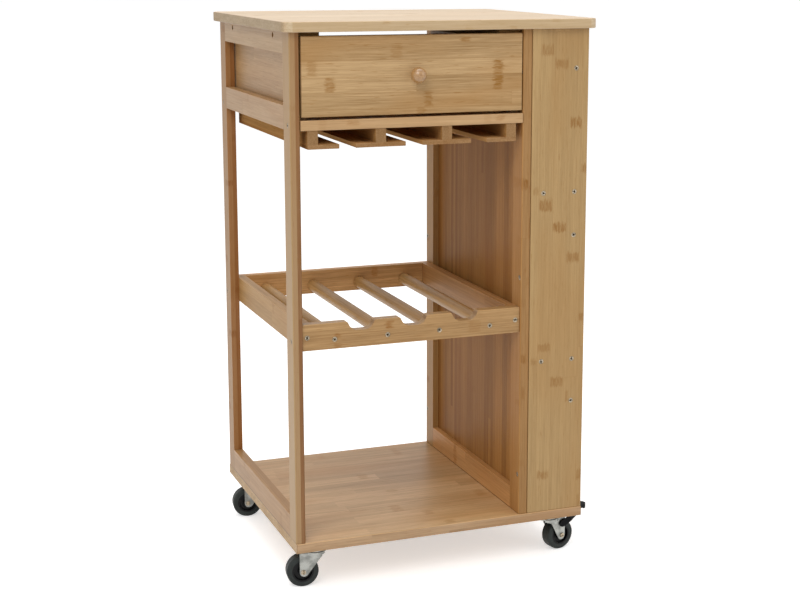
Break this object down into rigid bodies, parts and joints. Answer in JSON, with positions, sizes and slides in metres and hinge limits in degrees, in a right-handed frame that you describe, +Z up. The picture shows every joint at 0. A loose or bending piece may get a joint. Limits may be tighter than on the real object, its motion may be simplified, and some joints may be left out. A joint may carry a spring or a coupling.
{
  "type": "kitchen trolley",
  "caption": "Bamboo kitchen trolley on swivel casters, with a drawer, hangers for stemmed glasses, a bottle rack and narrow open shelves at the right side.",
  "frame": {"origin": "on the floor, at the centre of the bounding box seen from above", "axes": "+Z up, +X to the right along the drawer's front, +Y from the front to the back"},
  "size_m": [0.524, 0.458, 0.868],
  "materials": {
    "bamboo": "light carbonised bamboo strips under clear satin lacquer",
    "worktop": "pale bamboo strips under clear satin lacquer",
    "panel": "thin bamboo panel, strips along its length",
    "zinc": "zinc-plated pressed steel",
    "screw": "zinc-plated screws and axle",
    "tyre": "dark grey rubber, slightly worn",
    "hub": "black moulded plastic",
    "lever": "black moulded plastic"
  },
  "bodies": {
    "frame": {"top_board": "worktop", "base_board": "bamboo", "front_left_post": "bamboo", "back_left_post": "bamboo", "front_right_post": "bamboo", "back_right_post": "bamboo", "left_top_rail": "bamboo", "divider_top_rail": "bamboo", "left_middle_rail": "bamboo", "divider_middle_rail": "bamboo", "left_bottom_rail": "bamboo", "divider_bottom_rail": "bamboo", "divider_panel": "panel", "front_drawer_rail": "bamboo", "back_drawer_rail": "bamboo", "drawer_runners": "bamboo", "top_cleats": "bamboo", "hanger_spacers": "bamboo", "hanger_strips": "bamboo", "rack_front_rail": "bamboo", "rack_back_rail": "bamboo", "rack_left_rail": "bamboo", "rack_right_rail": "bamboo", "rack_rods": "bamboo", "side_front_board": "bamboo", "side_back_board": "bamboo", "upper_shelf": "bamboo", "lower_shelf": "bamboo", "guard_rods": "bamboo", "caster_plates": "zinc", "frame_screws": "screw", "caster_screws": "screw"},
    "drawer": {"drawer_front": "bamboo", "drawer_left_side": "bamboo", "drawer_right_side": "bamboo", "drawer_back": "bamboo", "drawer_bottom": "panel", "drawer_knob": "bamboo", "knob_screw": "screw"},
    "front_left_swivel": {"front_left_fork": "zinc", "front_left_axle": "screw"},
    "front_left_wheel": {"front_left_hub": "hub", "front_left_tyre": "tyre"},
    "back_left_swivel": {"back_left_fork": "zinc", "back_left_axle": "screw"},
    "back_left_wheel": {"back_left_hub": "hub", "back_left_tyre": "tyre"},
    "front_right_swivel": {"front_right_fork": "zinc", "front_right_axle": "screw"},
    "front_right_wheel": {"front_right_hub": "hub", "front_right_tyre": "tyre"},
    "front_right_brake": {"front_right_brake_lever": "lever"},
    "back_right_swivel": {"back_right_fork": "zinc", "back_right_axle": "screw"},
    "back_right_wheel": {"back_right_hub": "hub", "back_right_tyre": "tyre"},
    "back_right_brake": {"back_right_brake_lever": "lever"}
  },
  "joints": [
    {"name": "drawer_slide", "type": "slide", "parent": "frame", "child": "drawer", "axis": [0, -1, 0], "range_m": [0, 0.28]},
    {"name": "front_left_swivel_turn", "type": "hinge", "parent": "frame", "child": "front_left_swivel", "pos_m": [-0.211, -0.16, 0.057], "axis": [0, 0, 1], "continuous": true},
    {"name": "front_left_wheel_roll", "type": "hinge", "parent": "front_left_swivel", "child": "front_left_wheel", "pos_m": [-0.23085, -0.15756, 0.025], "axis": [0.1219, 0.9925, 0], "continuous": true},
    {"name": "back_left_swivel_turn", "type": "hinge", "parent": "frame", "child": "back_left_swivel", "pos_m": [-0.211, 0.178, 0.057], "axis": [0, 0, 1], "continuous": true},
    {"name": "back_left_wheel_roll", "type": "hinge", "parent": "back_left_swivel", "child": "back_left_wheel", "pos_m": [-0.23085, 0.18044, 0.025], "axis": [0.1219, 0.9925, 0], "continuous": true},
    {"name": "front_right_swivel_turn", "type": "hinge", "parent": "frame", "child": "front_right_swivel", "pos_m": [0.187, -0.16, 0.057], "axis": [0, 0, 1], "continuous": true},
    {"name": "front_right_wheel_roll", "type": "hinge", "parent": "front_right_swivel", "child": "front_right_wheel", "pos_m": [0.20656, -0.15584, 0.025], "axis": [0.2079, -0.9781, 0], "continuous": true},
    {"name": "front_right_brake_press", "type": "hinge", "parent": "front_right_swivel", "child": "front_right_brake", "pos_m": [0.20656, -0.15584, 0.046], "axis": [-0.2079, 0.9781, 0], "range_deg": [0, 33]},
    {"name": "back_right_swivel_turn", "type": "hinge", "parent": "frame", "child": "back_right_swivel", "pos_m": [0.187, 0.178, 0.057], "axis": [0, 0, 1], "continuous": true},
    {"name": "back_right_wheel_roll", "type": "hinge", "parent": "back_right_swivel", "child": "back_right_wheel", "pos_m": [0.20632, 0.18318, 0.025], "axis": [0.2588, -0.9659, 0], "continuous": true},
    {"name": "back_right_brake_press", "type": "hinge", "parent": "back_right_swivel", "child": "back_right_brake", "pos_m": [0.20632, 0.18318, 0.046], "axis": [-0.2588, 0.9659, 0], "range_deg": [0, 33]}
  ]
}
